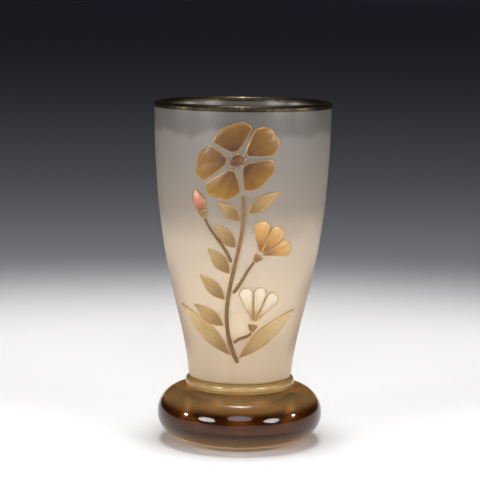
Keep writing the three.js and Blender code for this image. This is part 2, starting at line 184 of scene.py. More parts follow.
def height_of(tree, place):
    """The height of each point above the table, in metres."""
    return add(tree, "SeparateXYZ", {"Vector": place}).outputs["Z"]


def mottle(tree, place, scale, detail=3, roughness=0.5):
    """Cloudy variation from 0 to 1. scale is in clouds per metre."""
    inputs = {"Vector": place, "Scale": scale, "Detail": detail, "Roughness": roughness}
    return add(tree, "TexNoise", inputs).outputs["Fac"]


def swallow(tree, colour, density):
    """Fills a glass body with colour, which deepens with the glass that light goes through."""
    inside = add(tree, "VolumeAbsorption", {"Color": colour, "Density": density})
    tree.links.new(inside.outputs["Volume"], tree.nodes["Material Output"].inputs["Volume"])


def emboss(tree, shader, relief, depth):
    """Turns a relief, from 0 to 1, into dents of a depth in metres."""
    made = add(tree, "Bump", {"Height": relief, "Distance": depth, "Strength": 1})
    tree.links.new(made.outputs["Normal"], shader.inputs["Normal"])


print("helpers for finishes ready")

# %% [markdown]
# ## The floor
# The glass stands on one plain pale sheet that runs back out of sight. It is a disc so wide that
# its edge never shows, a hair below the foot so that the two don't share a surface. Paper is
# matt, with fibres that vary its white a little.

# %% Lay the floor
FLOOR_RADIUS = 30
FLOOR_SIDES = 96
FLOOR_DROP = 0.02 * MM

bpy.ops.object.select_all(action="DESELECT")
bpy.ops.mesh.primitive_circle_add(
    vertices=FLOOR_SIDES, radius=FLOOR_RADIUS, fill_type="NGON", location=(0, 0, -FLOOR_DROP)
)
floor = bpy.context.object
floor.name = "floor"

pale_paper, tree, shader, place = new_finish("pale_paper")
fibre = mottle(tree, place, scale=900, detail=4)
white = blend_colours(tree, fibre, paint(238, 237, 235), paint(243, 242, 240))
tree.links.new(white, shader.inputs["Base Color"])
shader.inputs["Roughness"].default_value = 0.75
shader.inputs["Specular IOR Level"].default_value = 0.25
floor.data.materials.append(pale_paper)
print("floor laid", FLOOR_DROP / MM, "mm below the foot")

# %% [markdown]
# ## The light
# A round softbox with a grid hangs over the sheet and lights a pool of it, which falls off to
# dark behind the glass. That pool is what the etched glass glows with. A second softbox higher up
# keeps the dark from going black, and three oval panels in front light the enamel and lay soft
# gleams on the foot. Four small lights with snoots stand at the sides: two pick out the gilt lip
# and two the front of the foot. Area lights are used throughout, because their size gives the
# gleams their shape.

# %% Helpers for lights
def soft_light(name, place, target, size, power, spread=180, colour=(1, 1, 1), depth=None):
    """A round light that faces a target, or an oval one of a size and a depth in metres."""
    bpy.ops.object.select_all(action="DESELECT")
    bpy.ops.object.light_add(type="AREA", location=place)
    light = bpy.context.object
    light.name = name
    aim = Vector(target) - Vector(place)
    light.rotation_euler = aim.to_track_quat("-Z", "Y").to_euler()
    light.data.energy = power
    light.data.color = colour
    light.data.spread = math.radians(spread)
    light.data.shape = "DISK" if depth is None else "ELLIPSE"
    light.data.size = size
    if depth is not None:
        light.data.size_y = depth


def light_pair(name, place, target, size, powers, **settings):
    """Two lights at mirrored places. place is the right one's, and powers are left and right."""
    aside, ahead, up = place
    left_power, right_power = powers
    soft_light("left_" + name, (-aside, ahead, up), target, size, left_power, **settings)
    soft_light("right_" + name, (aside, ahead, up), target, size, right_power, **settings)


print("helpers for lights ready")

# %% Hang the lights
GLASS_FOOT = (0, 0, 0)
GLASS_MIDDLE = (0, 0, 45 * MM)
LIP_MIDDLE = (0, 0, 86 * MM)
FOOT_FRONT = (0, -8 * MM, -3 * MM)
SOFTBOX_PLACE = (0, 0, 0.6)
GLOW_PLACE = (0, 0, 0.8)
FRONT_PANEL_PLACE = (0, -0.9, 0.5)
SIDE_PANEL_PLACE = (0.52, -0.5, 0.2)
LIP_SNOOT_PLACE = (0.5, -0.08, 0.14)
FOOT_SNOOT_PLACE = (0.5, -0.06, 0.16)
LIP_SNOOT_POWER = 0.0044
FOOT_SNOOT_POWER = 0.0021
COOL_WHITE = (0.8, 0.88, 1.06)
WARM_WHITE = (1.0, 0.98, 0.94)

soft_light(
    "gridded_softbox", SOFTBOX_PLACE, GLASS_FOOT,
    size=0.46, power=0.4, spread=21, colour=WARM_WHITE,
)
soft_light(
    "high_glow", GLOW_PLACE, GLASS_FOOT,
    size=0.5, power=0.15, spread=60, colour=COOL_WHITE,
)
soft_light(
    "front_panel", FRONT_PANEL_PLACE, GLASS_MIDDLE,
    size=0.6, power=2.4, colour=COOL_WHITE, depth=0.4,
)
light_pair("panel", SIDE_PANEL_PLACE, GLASS_MIDDLE, size=0.3, powers=(2.4, 2.2), depth=0.2)
light_pair(
    "snoot", LIP_SNOOT_PLACE, LIP_MIDDLE,
    size=0.08, powers=(LIP_SNOOT_POWER, LIP_SNOOT_POWER), spread=13,
)
light_pair(
    "foot_snoot", FOOT_SNOOT_PLACE, FOOT_FRONT,
    size=0.06, powers=(FOOT_SNOOT_POWER, FOOT_SNOOT_POWER), spread=6,
)

# %% [markdown]
# ## The room and the film
# The room is nearly dark and a little cool, so the glass mirrors dim grey and not black. The film
# is plain, without a filmic curve, because the photograph's whites and browns are as flat as
# that. Light has to pass many walls of glass, so it is given many bounces.

# %% Dim the room and choose the film
ROOM_LIGHT = paint(27, 28, 34)

world = bpy.data.worlds.new("dim_room")
world.use_nodes = True
world.node_tree.nodes["Background"].inputs["Color"].default_value = ROOM_LIGHT
scene = bpy.context.scene
scene.world = world
scene.view_settings.view_transform = "Standard"
scene.view_settings.look = "None"
scene.cycles.max_bounces = 24
scene.cycles.transmission_bounces = 20
scene.cycles.glossy_bounces = 8
scene.cycles.sample_clamp_indirect = 6
print("film", scene.view_settings.view_transform)

# %% [markdown]
# ## Curves for a lathe
# The foot, the collar, the bowl and the gilding are round, so each is one outline turned about
# the upright axis. An outline is a few arcs and swept curves with the sizes of the real piece. A
# curve is read by drawing points together again and again between its handles.

# %% Helpers for outlines
def between(handles, share):
    """The point at a share of a curve with two, three or four handles."""
    handles = [Vector(handle) for handle in handles]
    while len(handles) > 1:
        handles = [a.lerp(b, share) for a, b in zip(handles, handles[1:])]
    return handles[0]


def sweep(handles, steps, first=0):
    """Points along a curve, as radius and height, from a first step on."""
    return [between(handles, step / steps) for step in range(first, steps + 1)]


print("curves ready")

# %% The lathe
ROUND_SIDES = 128


def turn(name, outline, solid=True):
    """Turns an outline: a disc or a bare ring, then ring after ring drawn on and resized."""
    bpy.ops.object.select_all(action="DESELECT")
    start = outline[0]
    bpy.ops.mesh.primitive_circle_add(
        vertices=ROUND_SIDES, radius=start.x, fill_type="NGON" if solid else "NOTHING",
        location=(0, 0, start.y),
    )
    piece = bpy.context.object
    piece.name = name
    bpy.ops.object.transform_apply(location=True)
    bpy.ops.object.mode_set(mode="EDIT")
    bpy.ops.mesh.select_mode(type="FACE" if solid else "EDGE")
    bpy.ops.mesh.select_all(action="SELECT")
    for last, following in zip(outline, outline[1:]):
        rise = (0, 0, following.y - last.y)
        bpy.ops.mesh.extrude_region_move(TRANSFORM_OT_translate={"value": rise})
        grow = following.x / last.x
        bpy.ops.transform.resize(value=(grow, grow, 1), center_override=(0, 0, following.y))
    if solid:
        bpy.ops.mesh.poke()
    bpy.ops.mesh.select_all(action="SELECT")
    bpy.ops.mesh.normals_make_consistent(inside=False)
    bpy.ops.object.mode_set(mode="OBJECT")
    print(name, len(piece.data.polygons), "faces")
    return piece


print("lathe ready")

# %% [markdown]
# ## Finishing a piece
# A new mesh shows its flat faces, so each piece is shaded smooth, with its real edges kept sharp
# by their angle.

# %% Helper that finishes a piece
GLASS_CREASE = 35


def finish_piece(piece, material, node, crease=GLASS_CREASE):
    """Shades a piece, gives it its finish, hangs it on the root and hides the model's node that
    it stands for.
    """
    bpy.ops.object.select_all(action="DESELECT")
    piece.select_set(True)
    bpy.context.view_layer.objects.active = piece
    bpy.ops.object.shade_smooth_by_angle(angle=math.radians(crease))
    piece.data.materials.clear()
    piece.data.materials.append(material)
    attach(piece, "root")
    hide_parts(node)


print("edges steeper than", GLASS_CREASE, "degrees stay sharp")

# %% [markdown]
# ## The foot
# The foot is a thick bun of brown glass, pressed on hot. It spreads from a ground ring on the
# table to its widest line, then rolls in under the collar, and a polished hollow under it shows
# where the iron rod was broken off. A squashed sphere would give the bun but not the ring or the
# hollow, so the outline is drawn in three curves: the hollow, the flank and the shoulder.

# %% Turn the foot
foot_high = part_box("foot")[1]
collar_low, collar_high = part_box("collar")
FOOT_RADIUS = foot_high.x
FOOT_HEIGHT = foot_high.z
COLLAR_RADIUS = collar_high.x
RING_OUTER = 12 * MM
RING_INNER = 6.6 * MM
PONTIL_DEPTH = 1.2 * MM
WIDEST_HEIGHT = 6.6 * MM
FLANK_SWELL = 3.2 * MM
FLANK_RISE = 0.5 * MM
FLANK_PULL = 4 * MM
SHOULDER_PULL = 4 * MM
SHOULDER_SWELL = 3 * MM
SEAT_RADIUS = COLLAR_RADIUS + 0.5 * MM
AXIS_DISC = 0.4 * MM
HOLLOW_STEPS = 10
FLANK_STEPS = 20

hollow = ((0, PONTIL_DEPTH), (RING_INNER / 2, PONTIL_DEPTH), (RING_INNER, 0))
flank = (
    (RING_OUTER, 0),
    (RING_OUTER + FLANK_SWELL, FLANK_RISE),
    (FOOT_RADIUS, WIDEST_HEIGHT - FLANK_PULL),
    (FOOT_RADIUS, WIDEST_HEIGHT),
)
shoulder = (
    (FOOT_RADIUS, WIDEST_HEIGHT),
    (FOOT_RADIUS, WIDEST_HEIGHT + SHOULDER_PULL),
    (SEAT_RADIUS + SHOULDER_SWELL, FOOT_HEIGHT),
    (SEAT_RADIUS, FOOT_HEIGHT),
)
foot_outline = [Vector((AXIS_DISC, PONTIL_DEPTH))]
foot_outline += sweep(hollow, HOLLOW_STEPS, first=2)
foot_outline += sweep(flank, FLANK_STEPS)
foot_outline += sweep(shoulder, FLANK_STEPS, first=1)
foot_outline += [Vector((SEAT_RADIUS / 2, FOOT_HEIGHT)), Vector((AXIS_DISC, FOOT_HEIGHT))]
foot = turn("blown_foot", foot_outline)

# %% [markdown]
# ## Brown glass
# The colour of the foot is in the glass, so its thin edge glows amber and its middle is nearly
# black. A painted surface could not do that, so the body absorbs light instead. The skin is
# tinted by height as well. Painted light lifts the ground ring and the shoulder, where the table
# and the bowl shade them. A painted shade darkens the band round the widest line and dims the
# gleams there. Fine streaks run through the glass, and handling has left its gloss a little
# uneven.

# %% Melt brown glass
brown_glass, tree, shader, place = new_finish("brown_glass")
shader.inputs["Transmission Weight"].default_value = 0.86
shader.inputs["IOR"].default_value = 1.45
shader.inputs["Specular IOR Level"].default_value = 0.25
streaks = mottle(tree, place, scale=160, detail=2)
streaky = blend_colours(tree, streaks, paint(252, 222, 176), paint(234, 196, 144))
# Painted light and shade by height: pale at the ground ring and the shoulder, dark round the
# widest line.
painted_light_bands = ramp(tree, span(tree, height_of(tree, place), 0, FOOT_HEIGHT), (
    (0, paint(255, 250, 226)),
    (0.2, paint(250, 216, 166)),
    (0.38, paint(92, 53, 10)),
    (0.7, paint(82, 47, 11)),
    (0.9, paint(255, 242, 206)),
))
tree.links.new(stain(tree, streaky, painted_light_bands), shader.inputs["Base Color"])
smudges = mottle(tree, place, scale=700, detail=5, roughness=0.65)
handling = span(tree, smudges, low=0.4, high=0.75, start=0.04, end=0.16)
tree.links.new(handling, shader.inputs["Roughness"])
emboss(tree, shader, mottle(tree, place, scale=110, detail=2), depth=0.12 * MM)
swallow(tree, colour=(0.66, 0.44, 0.10, 1), density=14)
finish_piece(foot, brown_glass, "foot")
foot_width = round(FOOT_RADIUS * 2 / MM, 1)
print("foot", foot_width, "mm across and", round(FOOT_HEIGHT / MM, 1), "mm high")

# %% [markdown]
# ## The collar
# Between foot and bowl sits a squeezed ring of amber glass. It is one fat rounded band, so its
# outline is two quarter curves that meet at the widest line. A hairline keeps it off its
# neighbours.

# %% Turn the collar
COLLAR_BOTTOM = collar_low.z
COLLAR_TOP = collar_high.z
COLLAR_MIDDLE = (COLLAR_BOTTOM + COLLAR_TOP) / 2
COLLAR_ROUNDING = 0.9 * MM
COLLAR_FACE = COLLAR_RADIUS - COLLAR_ROUNDING
COLLAR_STEPS = 10
HAIRLINE = 0.015 * MM

low_face = (COLLAR_FACE, COLLAR_BOTTOM + HAIRLINE)
low_corner = (COLLAR_RADIUS, COLLAR_BOTTOM + HAIRLINE)
widest = (COLLAR_RADIUS, COLLAR_MIDDLE)
high_corner = (COLLAR_RADIUS, COLLAR_TOP - HAIRLINE)
high_face = (COLLAR_FACE, COLLAR_TOP - HAIRLINE)
collar_outline = [Vector((COLLAR_FACE / 2, COLLAR_BOTTOM + HAIRLINE))]
collar_outline += sweep((low_face, low_corner, widest), COLLAR_STEPS)
collar_outline += sweep((widest, high_corner, high_face), COLLAR_STEPS, first=1)
collar_outline.append(Vector((COLLAR_FACE / 2, COLLAR_TOP - HAIRLINE)))
collar = turn("amber_collar", collar_outline)

# %% [markdown]
# ## Amber glass
# The collar is made as the foot is, of paler glass: the colour is in the body again, with streaks
# drawn out in the squeezing. A yellow paint would look like plastic beside the brown.

# %% Melt amber glass
amber_glass, tree, shader, place = new_finish("amber_glass")
shader.inputs["Transmission Weight"].default_value = 0.76
shader.inputs["IOR"].default_value = 1.5
streaks = mottle(tree, place, scale=260)
streaky = blend_colours(tree, streaks, paint(255, 230, 168), paint(250, 204, 116))
tree.links.new(streaky, shader.inputs["Base Color"])
smudges = mottle(tree, place, scale=900, detail=4)
handling = span(tree, smudges, low=0.35, high=0.8, start=0.05, end=0.2)
tree.links.new(handling, shader.inputs["Roughness"])
emboss(tree, shader, mottle(tree, place, scale=220, detail=2), depth=0.1 * MM)
swallow(tree, colour=(0.86, 0.64, 0.08, 1), density=17)
finish_piece(collar, amber_glass, "collar")
print("collar", round((COLLAR_TOP - COLLAR_BOTTOM) / MM, 2), "mm high")

# %% [markdown]
# ## The bowl
# The bowl is a tall bucket with a solid base. Its outer wall is one long curve that leaves the
# collar upright, leans out and comes upright again at the lip. The inner wall follows it at the
# thickness of the glass, which thins towards the lip, and ends in a rounded well. A modifier
# would give the wall one thickness all over, so both walls are drawn in one outline.

# %% Set out the wall of the bowl
bowl_low, bowl_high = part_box("bowl")
BOWL_BOTTOM = bowl_low.z
RIM_HEIGHT = bowl_high.z
MOUTH_RADIUS = bowl_high.x
BASE_RADIUS = 12.1 * MM
BASE_FILLET = 0.6 * MM
LOWER_LEAN = 1.5 * MM
LOWER_PULL = 16.7 * MM
UPPER_LEAN = 0.45 * MM
UPPER_PULL = 39.5 * MM
LIP_THICKNESS = 1.5 * MM
LOWER_THICKNESS = 2.3 * MM
SOLID_BASE = 6.5 * MM
WELL_ROUNDING = 7.5 * MM
LIP_RADIUS = LIP_THICKNESS / 2

WALL = (
    (BASE_RADIUS, BOWL_BOTTOM + BASE_FILLET),
    (BASE_RADIUS + LOWER_LEAN, BOWL_BOTTOM + BASE_FILLET + LOWER_PULL),
    (MOUTH_RADIUS - UPPER_LEAN, RIM_HEIGHT - LIP_RADIUS - UPPER_PULL),
    (MOUTH_RADIUS, RIM_HEIGHT - LIP_RADIUS),
)
print("outer wall", round(BASE_RADIUS / MM, 1), "to", round(MOUTH_RADIUS / MM, 1), "mm radius")

# %% Helpers that follow the wall
WALL_STEP = 0.0005  # a share of the wall's curve, small enough to give its direction
HALVINGS = 40


def off_wall(share, distance):
    """A point at a distance out of the wall. A negative distance is in the glass."""
    low = between(WALL, max(share - WALL_STEP, 0))
    high = between(WALL, min(share + WALL_STEP, 1))
    along = (high - low).normalized()
    return between(WALL, share) + Vector((along.y, -along.x)) * distance


def inner_wall(share):
    """The inside of the wall, which thins towards the lip."""
    return off_wall(share, -(LOWER_THICKNESS + (LIP_THICKNESS - LOWER_THICKNESS) * share))


def share_at(height):
    """The share of the wall's curve at a height, by halving."""
    low, high = 0, 1
    for _ in range(HALVINGS):
        middle = (low + high) / 2
        if between(WALL, middle).y < height:
            low = middle
        else:
            high = middle
    return (low + high) / 2


def lip_point(angle, distance=0):
    """A point round the lip, at an angle from straight out and a distance off the glass."""
    reach = LIP_RADIUS + distance
    out = Vector((math.cos(angle), math.sin(angle))) * reach
    return Vector((MOUTH_RADIUS - LIP_RADIUS, RIM_HEIGHT - LIP_RADIUS)) + out


print("the solid base ends at share", round(share_at(BOWL_BOTTOM + SOLID_BASE), 2), "of the wall")

# %% Turn the bowl
WALL_RINGS = 56
LIP_RINGS = 12
WELL_RINGS = 18
FILLET_SHARE = 0.3  # where the one point on the round of the bottom edge lies, in from its corner

fillet_cut = BASE_FILLET * FILLET_SHARE
bowl_outline = [
    Vector((BASE_RADIUS / 2, BOWL_BOTTOM)),
    Vector((BASE_RADIUS - BASE_FILLET, BOWL_BOTTOM)),
    Vector((BASE_RADIUS - fillet_cut, BOWL_BOTTOM + fillet_cut)),
]
bowl_outline += sweep(WALL, WALL_RINGS)
bowl_outline += [lip_point(math.pi * ring / LIP_RINGS) for ring in range(1, LIP_RINGS)]
well_share = share_at(BOWL_BOTTOM + SOLID_BASE + WELL_ROUNDING)
for ring in range(WALL_RINGS + 1):
    bowl_outline.append(inner_wall(1 + (well_share - 1) * ring / WALL_RINGS))
well_edge = inner_wall(well_share)
well_depth = well_edge.y - BOWL_BOTTOM - SOLID_BASE
for ring in range(1, WELL_RINGS):
    angle = math.pi / 2 * ring / WELL_RINGS
    radius = well_edge.x * math.cos(angle)
    height = well_edge.y - well_depth * math.sin(angle)
    bowl_outline.append(Vector((radius, height)))
bowl = turn("etched_bowl", bowl_outline)

# %% [markdown]
# ## Etched glass
# Acid has eaten the outside to a satin skin, while the inside is smoother. So each point of the
# bowl is marked, as an attribute that the finish reads, because a finish alone can't tell outside
# from inside. A rough skin blurs what stands behind it: the dark room turns the top of the glass
# grey, and the pale floor makes the lower half glow. The glass itself is smoky topaz, so it is
# warmest where it is thick. It turns grey towards the lip, where its colour is also darkened as
# painted shade. Low on the bowl the wall is seen almost edge-on at its flanks, and looks darker
# there, so a Layer Weight node deepens the tint by how edge-on the surface is seen: painted
# shade.

# %% Mark the etched skin
LOOKS_OUT = 0.3  # the cosine of the widest angle from straight out

etched = bowl.data.attributes.new("etched", "FLOAT", "POINT")
for vertex, mark in zip(bowl.data.vertices, etched.data):
    outwards = Vector((vertex.co.x, vertex.co.y, 0)).normalized()
    facing_out = vertex.normal.dot(outwards) > LOOKS_OUT
    mark.value = 1 if facing_out and vertex.co.z > BOWL_BOTTOM + BASE_FILLET else 0
etched_share = sum(mark.value for mark in etched.data) / len(etched.data)
print("etched share of the bowl", round(etched_share, 2))

# %% Tint the topaz glass
WHITE = paint(255, 255, 255)
BLACK = paint(0, 0, 0)
CLOUD_SHARE = 0.16

topaz_glass, tree, shader, place = new_finish("etched_topaz_glass")
shader.inputs["Transmission Weight"].default_value = 0.6
shader.inputs["IOR"].default_value = 1.5
level = span(tree, height_of(tree, place), BOWL_BOTTOM, RIM_HEIGHT)
clouds = mottle(tree, place, scale=70, detail=4, roughness=0.6)
climb = maths(tree, "ADD", level, maths(tree, "MULTIPLY", clouds, CLOUD_SHARE))
# Warm low down and grey higher up; the last, darkest stop at the lip is painted shade.
tint = ramp(tree, climb, (
    (0.06, paint(244, 220, 184)),
    (0.4, paint(255, 239, 212)),
    (0.58, paint(247, 230, 208)),
    (0.73, paint(196, 183, 167)),
    (0.96, paint(178, 170, 160)),
    (1, paint(141, 135, 127)),
))
# Painted shade: the flanks low on the bowl darken by how edge-on they are seen.
slant = add(tree, "LayerWeight", {"Blend": 0.5}).outputs["Facing"]
painted_edge_shade = ramp(tree, slant, ((0.35, WHITE), (0.9, paint(180, 150, 130))))
edge_shade_band = ramp(tree, level, ((0.05, BLACK), (0.14, WHITE), (0.34, WHITE), (0.5, BLACK)))
tint = blend_colours(tree, edge_shade_band, tint, stain(tree, tint, painted_edge_shade))
tree.links.new(tint, shader.inputs["Base Color"])
swallow(tree, colour=(0.72, 0.52, 0.20, 1), density=28)
print("topaz glass", round(BOWL_BOTTOM / MM, 1), "to", round(RIM_HEIGHT / MM, 1), "mm up")

# %% Etch its skin
INSIDE_ROUGHNESS = 0.28
PEBBLE_SHARE = 0.35
LIP_CREASE = 50

skin = add(tree, "Attribute", attribute_name="etched").outputs["Fac"]
grain = mottle(tree, place, scale=2600)
satin = span(tree, grain, low=0.3, high=0.7, start=0.30, end=0.40)
roughness = span(tree, skin, low=0, high=1, start=INSIDE_ROUGHNESS, end=satin)
tree.links.new(roughness, shader.inputs["Roughness"])
pebbles = maths(tree, "MULTIPLY", mottle(tree, place, scale=1300, detail=4, roughness=0.6), skin)
ripple = mottle(tree, place, scale=120, detail=2)
relief = maths(tree, "ADD", maths(tree, "MULTIPLY", pebbles, PEBBLE_SHARE), ripple)
emboss(tree, shader, relief, depth=0.08 * MM)
finish_piece(bowl, topaz_glass, "bowl", crease=LIP_CREASE)
print("bowl finished, wall", round(LIP_THICKNESS / MM, 1), "mm at the lip")

# %% [markdown]
# ## The gilt lip
# The lip is painted with gold that is fired on, further down outside than inside. A band is drawn
# over the lip ring by ring, as thin as a sheet, and a Solidify modifier gives it its thickness.
# It starts as a bare ring, because a band has no bottom.

# %% Draw the gilding over the lip
FIRED_GAP = 0.05 * MM
GILT_THICKNESS = 0.12 * MM
GILT_OUTSIDE = 1.2 * MM
GILT_INSIDE = 1 * MM
GILT_BEND = 0.7  # where the one ring between the band's edge and the lip lies, down from the lip
GILT_RINGS = 16

gilt_line = [
    off_wall(share_at(RIM_HEIGHT - GILT_OUTSIDE), FIRED_GAP),
    off_wall(share_at(RIM_HEIGHT - GILT_OUTSIDE * GILT_BEND), FIRED_GAP),
]
gilt_line += [lip_point(math.pi * ring / GILT_RINGS, FIRED_GAP) for ring in range(GILT_RINGS + 1)]
inside_end = inner_wall(share_at(RIM_HEIGHT - GILT_INSIDE))
gilt_line.append(Vector((inside_end.x - FIRED_GAP, inside_end.y)))
gilt_lip = turn("gilt_mouth", gilt_line, solid=False)

thicken = gilt_lip.modifiers.new("leaf thickness", "SOLIDIFY")
thicken.thickness = GILT_THICKNESS
thicken.offset = 1
bpy.ops.object.modifier_apply(modifier=thicken.name)
print("gilding", len(gilt_lip.data.polygons), "faces with its thickness")

# %% [markdown]
# ## Worn gold
# Old gilding is dull olive gold, rubbed thin where lips and cloths have passed. One cloudy
# pattern drives both its colour and its gloss, so the rubbed places are paler and brighter
# together.

# %% Rub the gold
worn_gold, tree, shader, place = new_finish("worn_gold")
rub = mottle(tree, place, scale=420, detail=5, roughness=0.7)
gold = ramp(tree, rub, (
    (0.32, paint(42, 36, 29)),
    (0.48, paint(62, 54, 42)),
    (0.75, paint(102, 87, 63)),
))
tree.links.new(gold, shader.inputs["Base Color"])
shader.inputs["Metallic"].default_value = 1
rubbed = span(tree, rub, low=0.35, high=0.7, start=0.5, end=0.26)
tree.links.new(rubbed, shader.inputs["Roughness"])
emboss(tree, shader, mottle(tree, place, scale=1500), depth=0.03 * MM)
finish_piece(gilt_lip, worn_gold, "gilt_lip", crease=LIP_CREASE)
print("gold laid", round(GILT_OUTSIDE / MM, 1), "mm down the outside")

# %% [markdown]
# ## The enamel spray
# Enamel is coloured glass paste, laid on thickly and melted to the wall. Each petal, leaf and
# stem is its own small cushion in the model, with flat faces. A copy of it is merged, its
# triangles are joined to quads, its top edge is held by a narrow inset, and a subdivision surface
# melts it smooth.

# %% Helpers that choose faces
def select_faces(piece, chosen):
    """Selects the faces of a piece that a test chooses, and goes into edit mode."""
    bpy.ops.object.select_all(action="DESELECT")
    piece.select_set(True)
    bpy.context.view_layer.objects.active = piece
    bpy.ops.object.mode_set(mode="EDIT")
    bpy.ops.mesh.select_mode(type="FACE")
    bpy.ops.mesh.select_all(action="DESELECT")
    bpy.ops.object.mode_set(mode="OBJECT")
    for face in piece.data.polygons:
        face.select = chosen(face)
    bpy.ops.object.mode_set(mode="EDIT")


def stands_out(face):
    """How far a face looks straight out of the wall, from -1 to 1."""
    outwards = Vector((face.center.x, face.center.y, 0)).normalized()
    return face.normal.dot(outwards)


TURNED_NODES = {"foot", "collar", "bowl", "gilt_lip"}
enamel_nodes = sorted(set(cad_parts) - TURNED_NODES)
print(len(enamel_nodes), "enamel pieces")

# %% Melt a copy of one enamel piece
EDGE_HOLD = 0.14 * MM
MERGE_DISTANCE = 0.002 * MM
QUAD_BEND = math.radians(40)
QUAD_SKEW = math.radians(60)
TOP_LOOKS_OUT = 0.45  # as a cosine, so the sloping top of a cushion counts as top


def melted(node, levels):
    """A smooth copy of an enamel node."""
    copy = bpy.data.objects.new(node + "_enamel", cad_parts[node].data.copy())
    bpy.context.scene.collection.objects.link(copy)
    select_faces(copy, lambda face: True)
    bpy.ops.mesh.remove_doubles(threshold=MERGE_DISTANCE)
    bpy.ops.mesh.tris_convert_to_quads(face_threshold=QUAD_BEND, shape_threshold=QUAD_SKEW)
    bpy.ops.object.mode_set(mode="OBJECT")
    select_faces(copy, lambda face: stands_out(face) > TOP_LOOKS_OUT)
    bpy.ops.mesh.inset(thickness=EDGE_HOLD, use_even_offset=True)
    bpy.ops.object.mode_set(mode="OBJECT")
    smooth = copy.modifiers.new("melt", "SUBSURF")
    smooth.levels = levels
    smooth.render_levels = levels
    bpy.ops.object.modifier_apply(modifier=smooth.name)
    return copy


print("top edges are held by", round(EDGE_HOLD / MM, 2), "mm")

# %% [markdown]
# ## A drawing on every piece
# Colour in enamel work follows the drawing: a petal is dark at the throat, streaked along its
# length and pale at the edge. So each piece carries its own small map, an attribute that says how
# far along the piece a point is, how far aside, and how far from the outline. It is measured on
# the unrolled wall.

# %% Helpers that unroll the wall
def corners(thing):
    """The vertices of an object as rows of numbers."""
    points = np.empty(len(thing.data.vertices) * 3)
    thing.data.vertices.foreach_get("co", points)
    return points.reshape(-1, 3)


def facing_of(node):
    """The middle of the drawing that a node belongs to, as an angle from the front."""
    return math.pi if node.startswith("back_") else 0


def unroll(points, facing):
    """Places on the unrolled wall: how far round from the middle of the drawing, and how high."""
    angle = np.arctan2(points[:, 0], -points[:, 1]) - facing
    angle = (angle + math.pi) % math.tau - math.pi
    return np.stack([angle * np.hypot(points[:, 0], points[:, 1]), points[:, 2]], 1)


def middle_of(node):
    """The middle of a node in the drawing."""
    flat = unroll(corners(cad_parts[node]), facing_of(node))
    return (flat.min(0) + flat.max(0)) / 2


def nearest_end(node, carrier):
    """The point of a piece that is nearest to what carries it."""
    flat = unroll(corners(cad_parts[node]), facing_of(node))
    other = unroll(corners(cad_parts[carrier]), facing_of(node))
    reach = [np.hypot(*(other - point).T).min() for point in flat]
    return flat[int(np.argmin(reach))]


BLOSSOM_MIDDLE = middle_of("blossom_heart")
print("large blossom", round(BLOSSOM_MIDDLE[1] / MM, 1), "mm up the wall")

# %% Map a piece along and across
SIDE_LOOKS_OUT = 0.35  # as a cosine, under which a point is on the side of its cushion


def outline_distance(piece, flat):
    """How far each vertex is from the outline of the piece, in the drawing."""
    outwards = np.array([[v.co.x, v.co.y, 0] for v in piece.data.vertices])
    outwards /= np.linalg.norm(outwards, axis=1)[:, None]
    normals = np.array([v.normal for v in piece.data.vertices])
    side = np.abs((normals * outwards).sum(1)) < SIDE_LOOKS_OUT
    rim = flat[side]
    return np.array([np.hypot(*(rim - point).T).min() for point in flat])


def map_piece(piece, root, facing):
    """Writes the drawing: along the piece from its root, across it, and in from its outline."""
    flat = unroll(corners(piece), facing)
    origin = np.array(root)
    middle = (flat.min(0) + flat.max(0)) / 2
    ahead = (middle - origin) / np.linalg.norm(middle - origin)
    offset = flat - origin
    along = offset @ ahead
    across = offset @ np.array([ahead[1], -ahead[0]])
    drawing = np.stack([along, across, outline_distance(piece, flat)], 1) / MM
    attribute = piece.data.attributes.new("drawing", "FLOAT_VECTOR", "POINT")
    attribute.data.foreach_set("vector", drawing.astype(np.float32).ravel())
    return along.max() / MM


print("maps ready")

# %% Melt, map and finish a group
ENAMEL_CREASE = 80
LEVELS = 2
PETAL_LEVELS = 3


def enamel(nodes, material, root, levels=LEVELS):
    """Melts, maps and finishes pieces that share one finish. root gives each piece's root."""
    for node in nodes:
        piece = melted(node, levels)
        length = map_piece(piece, root(node), facing_of(node))
        finish_piece(piece, material, node, crease=ENAMEL_CREASE)
        print(piece.name, round(length, 1), "mm,", len(piece.data.polygons), "faces")


def nodes_of(start):
    """The enamel nodes whose names start alike."""
    return [node for node in enamel_nodes if node.startswith(start)]


print("ready for the kiln")

# %% [markdown]
# ## Fired enamel
# All the enamels are one recipe with other pigments. The paste is laid in strokes from the root
# of a piece outwards, so its colour runs in fine streaks, and a gold line is drawn round the
# edge. All the enamel is darkened a little towards the lip, which is painted shade.
# A flat colour would look like paper cut-outs, so the recipe reads the drawing of each piece: its
# first number runs along the piece, its second across, and its third in from the edge.

# %% Helpers that read the drawing
FAN_START = 1.0
FAN_WIDTH = 6


def read_drawing(tree):
    """The piece's own drawing, and its along, across and inset, in millimetres."""
    drawing = add(tree, "Attribute", attribute_name="drawing").outputs["Vector"]
    parts = add(tree, "SeparateXYZ", {"Vector": drawing})
    return drawing, parts.outputs["X"], parts.outputs["Y"], parts.outputs["Z"]


def strokes(tree, drawing, along_scale, across_scale):
    """Streaks that run along a piece, as a brush leaves them."""
    stretch = add(tree, "Mapping", {"Vector": drawing, "Scale": (along_scale, across_scale, 0)})
    return mottle(tree, stretch.outputs["Vector"], scale=1, detail=4, roughness=0.6)


def fanned_strokes(tree, along, across):
    """Streaks that spread from the root of a petal."""
    distance = maths(tree, "ADD", maths(tree, "ABSOLUTE", along), FAN_START)
    turned = maths(tree, "MULTIPLY", maths(tree, "DIVIDE", across, distance), FAN_WIDTH)
    fan = add(tree, "CombineXYZ", {"X": along, "Y": turned}).outputs["Vector"]
    return strokes(tree, fan, along_scale=0.25, across_scale=3.4)


